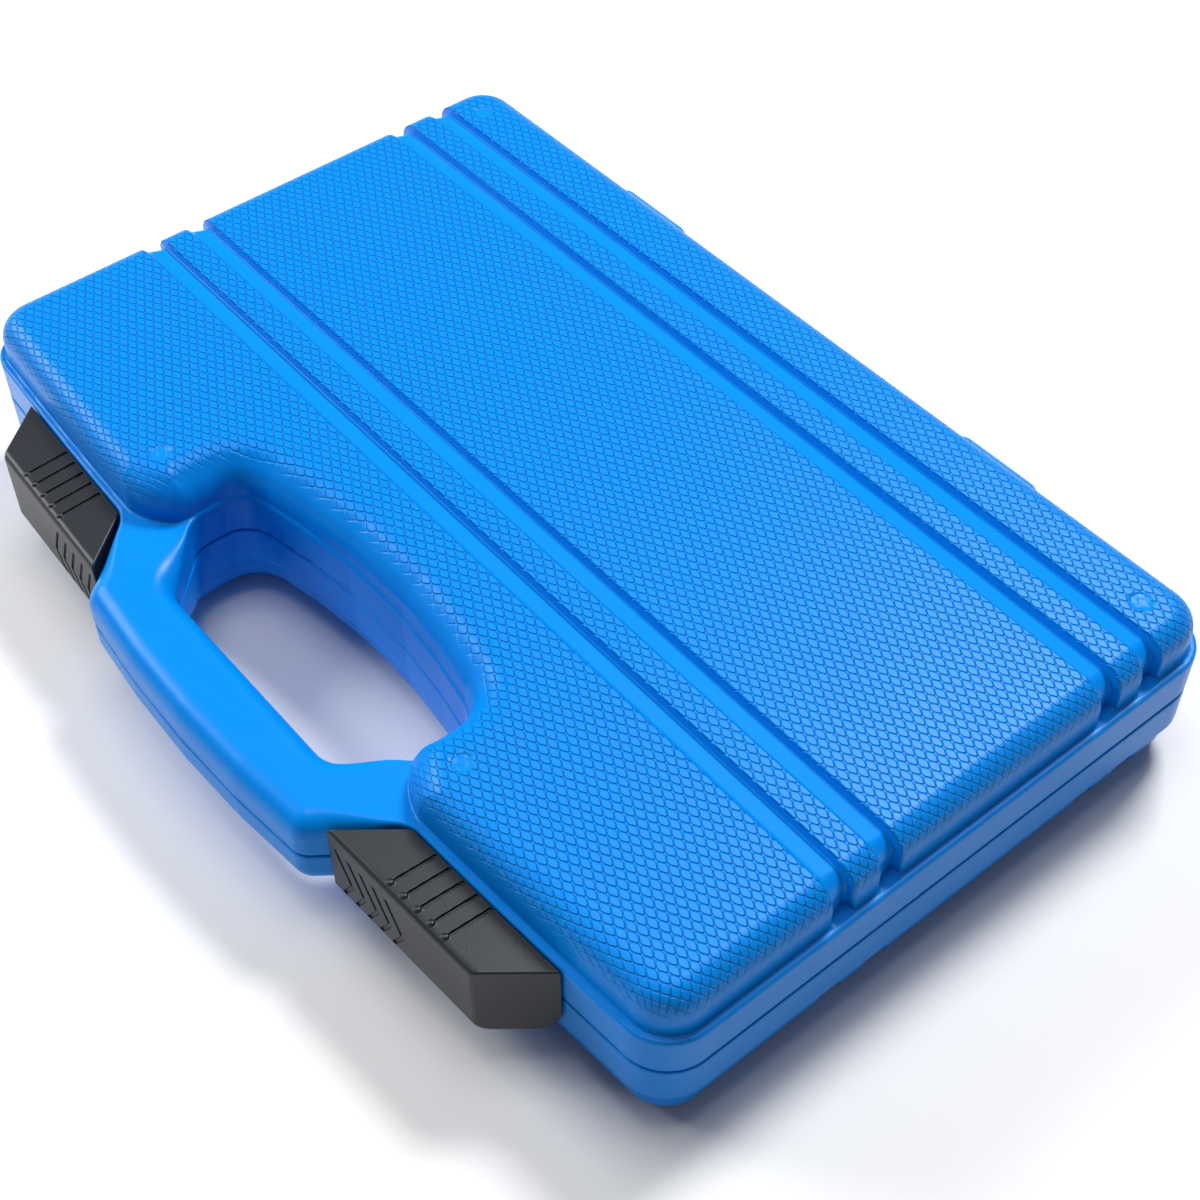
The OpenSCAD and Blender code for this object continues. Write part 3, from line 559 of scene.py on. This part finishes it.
def makePlainFinish(
    name, colour, roughness, metallic=0.0, grain=900.0, grainHeight=0.00002, change=0.06, specular=0.5
):
    finish = Finish(name, Metallic=metallic)
    finish.put("Specular IOR Level", specular)
    where = finish.place()
    fine, wide = finish.noise(where, grain, 4.0), finish.noise(where, 35.0, 2.0)
    darker = tuple(c * 0.7 for c in colour[:3]) + (1.0,)
    finish.put("Base Color", finish.mixed(finish.ramped(wide, 0.3, 0.75), colour, darker))
    finish.put("Roughness", (fine - 0.5) * change + (wide - 0.5) * change + roughness)
    finish.put("Normal", finish.bump(fine, grainHeight, 0.5))
    return finish.material


middleY = caseShape["middleY"]
halfLow = [-caseShape["length"] / 2, handleShape["frontY"], -hingeShape["knuckleRadius"]]
halfRear = caseShape["depth"] / 2 + hingeShape["reach"] + hingeShape["knuckleRadius"]
halfHigh = [caseShape["length"] / 2, halfRear, caseShape["panelTop"]]


def placeHalf(lid):
    side = 1.0 if lid else -1.0

    def move(points, normals):
        points = points * [1, 1, side] + [0, middleY, caseShape["partingZ"]]
        return points, normals * [1, 1, side]

    return move


def makeShell(name, lid, body):
    def distance(x, y, up):
        return shellHalf(x, y, up, lid)

    shell, local = solidMesh(name, distance, halfLow, halfHigh, caseShape["voxel"], placeHalf(lid))
    x, y, up = local.T
    # the pattern runs on unbroken from the top down over the panel's sides
    drop = np.maximum(caseShape["panelTop"] - up, 0.0)
    side, outerShare = panelSide(x, y)
    sideways = ramp(np.abs(x) - caseShape["length"] / 2 + 12, 0.0, 8.0) * ramp(side + 9, 0, 6)
    endways = ramp(np.abs(y) - caseShape["depth"] / 2 + 14, 0.0, 8.0) * (1 - sideways)
    surfaceValue(shell, "patternU", x + np.sign(x) * drop * sideways)
    surfaceValue(shell, "patternV", y + np.sign(y) * drop * endways)
    # and fades out round the finger opening, above the border, in the grooves and on the marks
    mask = ramp(-side, 3.2, 7.0) * (1 - outerShare) + ramp(-side, -0.2, 1.2) * outerShare
    mask = mask * ramp(up - caseShape["bandHeight"], 0.6, 2.5)
    mask = mask * (1 - ramp(grooveDepth(y, 0.0), 0.02, 0.12)) * (1 - 0.8 * roundMark(x, y))
    outside = np.abs(panelHalf(x, y, up, True)) < 0.5
    surfaceValue(shell, "patternMask", mask * outside)
    shell.data.materials.append(shellMaterial)
    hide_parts(body[0])
    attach(shell, body[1])
    return shell


shellMaterial = makeShellFinish("shellPlastic")
makeShell("lidShell", True, ("lid_shell", "lid"))
makeShell("baseShell", False, ("base_shell", "base"))
print("case halves made")


def latchSolid(u, v, z):
    length, thick, skew = latchShape["length"], latchShape["thickness"], latchShape["skew"]
    axisV, axisZ, wall = latchShape["axisV"], latchShape["axisZ"], latchShape["wall"]
    high = caseShape["partingZ"] + caseShape["bandHeight"]
    low = axisZ - latchShape["heelRadius"]
    back = latchShape["backV"]
    slant = skew / (thick - back)

    def slab(inset, edge, nose, end):
        # the latch's outside, made smaller by inset
        box = roundedCommon(edge, v - thick + inset, z - high + inset)
        front = roundedCommon(nose, v - thick + inset, low + inset - z)
        heel = np.sqrt((v - axisV) ** 2 + (z - axisZ) ** 2) - latchShape["heelRadius"] + inset
        lower = np.where((v < axisV) & (z < axisZ), heel, low + inset - z)
        body = np.maximum(np.maximum(box, front), lower)
        along = u + (v - back) * slant
        ends = (np.abs(along) - length / 2) / math.hypot(1.0, slant) + inset
        return roundedCommon(end, body, ends)

    outside = roundedCommon(0.35, slab(0.0, latchShape["topEdge"], latchShape["noseRadius"], 0.6), back - v)
    body = np.maximum(outside, -np.maximum(slab(wall, 0.8, 2.0, 0.5), -1.0 - v))
    shift = -skew * axisV / thick
    across = np.abs(u - shift)
    # ears on the pin, the bead that snaps into the lid, and slots for the base's lugs
    ears = np.maximum(np.abs(across - 14) - 1.25, np.sqrt((v - axisV) ** 2 + (z - axisZ) ** 2) - 4.8)
    bead = np.maximum(np.maximum(across - 6, np.abs(v - 1.4) - 1.1), np.abs(z - 33.0) - 4.0)
    body = np.minimum(body, np.minimum(ears, bead))
    slots = np.maximum(np.abs(across - 9.5) - 2.5, np.maximum(v - axisV - 4.7, z - axisZ - 3.8))
    body = np.maximum(body, -slots)
    # ribs on the top, each with a small stop at its front end
    for k in range(latchShape["ribs"]):
        lane = u + 6.6 - latchShape["ribPitch"] * (k - 2)
        rib = np.maximum(np.abs(lane + 0.1 * v) - 0.5, np.maximum(v - 12.9, 0.8 - v))
        body = np.maximum(body, -np.maximum(rib, high - latchShape["ribDepth"] - z))
        stop = np.sqrt((lane + 1.35) ** 2 + (v - 13.3) ** 2 + ((z - high) * 1.5) ** 2) - 0.85
        body = filletedUnion(0.25, body, stop)
    # chevrons on the front: a long upper leg and a shorter lower one
    above = z - latchShape["chevronZ"]
    leg = np.where(above > 0, above * 0.5, -above * 0.6)
    tall = np.maximum(above - 10.4, -above - 6.6)
    for k in range(latchShape["chevrons"]):
        tip = latchShape["chevronFirst"] + latchShape["chevronPitch"] * k
        line = np.maximum(np.abs(u - tip + leg) - 0.66, tall)
        body = np.maximum(body, -np.maximum(line, thick - latchShape["chevronDepth"] - v))
    return body


def placeLatch(side):
    middle, turn = latchMiddle()

    def move(points, normals):
        moved = []
        for p in (points, normals):
            u, v, z = p.T
            across = side * (math.cos(turn) * u + math.sin(turn) * v)
            moved.append(np.stack([across, math.sin(turn) * u - math.cos(turn) * v, z], 1))
        moved[0] += [side * middle, float(frontEdge(middle)) + middleY, 0]
        return moved

    return move


latchPlastic = {
    "colour": (0.009, 0.013, 0.02, 1.0),
    "roughness": 0.42,
    "specular": 0.45,
    "grain": 1900.0,
    "grainHeight": 0.07 * mm,
}
latchMaterial = makePlainFinish("latchPlastic", **latchPlastic)
half = latchShape["length"] / 2
latchLow = [-half - latchShape["skew"] - 1, 0.0, latchShape["axisZ"] - 6]
latchHigh = [half + 1, latchShape["thickness"], caseShape["partingZ"] + caseShape["bandHeight"] + 0.6]
for side, name in ((-1, "left"), (1, "right")):
    pieceName = "latchCover" + name.capitalize()
    latch, _ = solidMesh(pieceName, latchSolid, latchLow, latchHigh, latchShape["voxel"], placeLatch(side))
    latch.data.materials.append(latchMaterial)
    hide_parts("latch_" + name)
    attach(latch, "latch_" + name)
print("latches made")


gripRubber = {"colour": (0.022, 0.022, 0.025, 1.0), "ribPitch": 4.0 * mm, "ribHeight": 0.5 * mm, "roughness": 0.62}


def makeRibbedRubber(name):
    # soft rubber with moulded ribs across the length of the tool
    colour = gripRubber["colour"]
    finish = Finish(name, IOR=1.45)
    finish.put("Specular IOR Level", 0.3)
    where = finish.place()
    alongTool = finish.node("ShaderNodeSeparateXYZ", 0, None, Vector=where)
    rib = abs((alongTool / gripRubber["ribPitch"]).maths("FRACT") - 0.5) * 2.0
    land = finish.ramped(rib, 0.15, 0.4)
    fine = finish.noise(where, 1800.0, 4.0)
    # painted shade: the grooves between the ribs are darkened
    finish.put("Base Color", finish.mixed(land, tuple(c * 0.6 for c in colour[:3]) + (1.0,), colour))
    finish.put("Roughness", (fine - 0.5) * 0.15 - land * 0.08 + gripRubber["roughness"])
    finish.put("Normal", finish.bump(land, gripRubber["ribHeight"], 0.9, finish.bump(fine, 0.00004, 0.4)))
    return finish.material


lidFoam = {"colour": (0.04, 0.04, 0.043, 1.0), "cell": 1.3 * mm, "pitDepth": 0.3 * mm}


def makeFoam(name):
    # closed-cell foam: small round pits all over a soft skin
    colour = lidFoam["colour"]
    finish = Finish(name, Roughness=0.95)
    finish.put("Specular IOR Level", 0.12)
    where = finish.place()
    cells = finish.node(
        "ShaderNodeTexVoronoi", "Distance", {"feature": "SMOOTH_F1"}, Vector=where, Scale=1.0 / lidFoam["cell"]
    )
    wide = finish.noise(where, 60.0, 2.0)
    pit = finish.ramped(cells, 0.15, 0.6)
    darker = tuple(c * 0.72 for c in colour[:3]) + (1.0,)
    # painted shade: the pits between the foam's cells are darkened, mixed with tone that differs at random
    finish.put("Base Color", finish.mixed((pit * 0.6 + wide * 0.2).clamped(), colour, darker))
    finish.put("Normal", finish.bump(1.0 - pit, lidFoam["pitDepth"], 0.7))
    return finish.material


# What each plain finish takes, by the name of its material
plainFinish = {
    "chromePlate": dict(colour=(0.83, 0.84, 0.86, 1.0), roughness=0.25, metallic=1.0, grain=1400.0, grainHeight=4e-6),
    "pinSteel": dict(colour=(0.5, 0.5, 0.52, 1.0), roughness=0.32, metallic=1.0),
    "screwSteel": dict(colour=(0.06, 0.06, 0.065, 1.0), roughness=0.35, metallic=1.0),
    "trayPlastic": dict(colour=(0.0, 0.16, 0.75, 1.0), roughness=0.42, grain=1500.0),
}
made = {name: makePlainFinish(name, **values) for name, values in plainFinish.items()}
rubber = makeRibbedRubber("gripRubber")
slotFinish = {
    "shell_blue": shellMaterial,
    "tray_grey": made["trayPlastic"],
    "foam": makeFoam("lidFoam"),
    "latch_black": latchMaterial,
    "pin_steel": made["pinSteel"],
    "screw_steel": made["screwSteel"],
    "chrome": made["chromePlate"],
    "grip": rubber,
    "insert_rubber": rubber,
}
for part in frame["record"]["subparts"]:
    node = frame["nodes"][part["node"]]
    node.data.materials.clear()
    node.data.materials.append(slotFinish[part["material_slot"]])

# Places in metres in the frame, light sizes in metres and powers in watts
stage = {
    "floor": 12.0,
    "floorColour": (0.86, 0.86, 0.86, 1.0),
    "overhead": ((-0.1, 0.05, 2.0), (0, 0, 0), (1.0, 0.8), 12.0),
    "side": ((-1.25, -0.6, 0.95), (0, 0, 0), (0.9, 0.6), 20.0),
    "rear": ((-0.25, 0.93, 1.45), (0.08, 0.05, 0), (0.5, 0.4), 27.0),
    "skyStrength": 0.11,
    "cameraPlace": (0.3018, -0.2246, 0.4217),
    "cameraBack": (0.5112, -0.4214, 0.7491),  # from what it sees towards the camera
    "cameraRight": (0.6375, 0.7704, -0.0016),
    "lens": 60.13,
}

floorMesh = bpy.data.meshes.new("floor")
reach = stage["floor"] / 2
corners = [(-reach, -reach), (reach, -reach), (reach, reach), (-reach, reach)]
floorMesh.from_pydata([(px, py, -0.5 * mm) for px, py in corners], [], [(0, 1, 2, 3)])
floor = bpy.data.objects.new("floor", floorMesh)
bpy.context.scene.collection.objects.link(floor)
floorFinish = Finish("paleFloor", Roughness=0.9)
floorFinish.put("Base Color", stage["floorColour"])
floorMesh.materials.append(floorFinish.material)


def addLight(name, place, target, size, power):
    light = bpy.data.lights.new(name, "AREA")
    light.shape, light.size, light.size_y = "RECTANGLE", size[0], size[1]
    light.energy = power
    obj = bpy.data.objects.new(name, light)
    obj.location = place
    obj.rotation_euler = (Vector(target) - Vector(place)).to_track_quat("-Z", "Y").to_euler()
    bpy.context.scene.collection.objects.link(obj)


for name in ("overhead", "side", "rear"):
    addLight(name + "Light", *stage[name])
world = bpy.data.worlds.new("studio")
world.use_nodes = True
sky = world.node_tree.nodes["Background"]
sky.inputs["Color"].default_value = (1.0, 1.0, 1.0, 1.0)
sky.inputs["Strength"].default_value = stage["skyStrength"]
bpy.context.scene.world = world
bpy.context.scene.view_settings.view_transform = "Standard"
print("floor and lights made")

back = Vector(stage["cameraBack"]).normalized()
right = Vector(stage["cameraRight"]).normalized()
up = back.cross(right).normalized()
right = up.cross(back).normalized()
cameraData = bpy.data.cameras.new("camera")
cameraData.lens, cameraData.sensor_width, cameraData.sensor_fit = stage["lens"], 36.0, "HORIZONTAL"
cameraData.clip_start = 0.01
camera = bpy.data.objects.new("camera", cameraData)
turned = Matrix((right, up, back)).transposed().to_4x4()
camera.matrix_world = Matrix.Translation(Vector(stage["cameraPlace"])) @ turned
bpy.context.scene.collection.objects.link(camera)
bpy.context.scene.camera = camera
print("camera made")

print("scene ready")
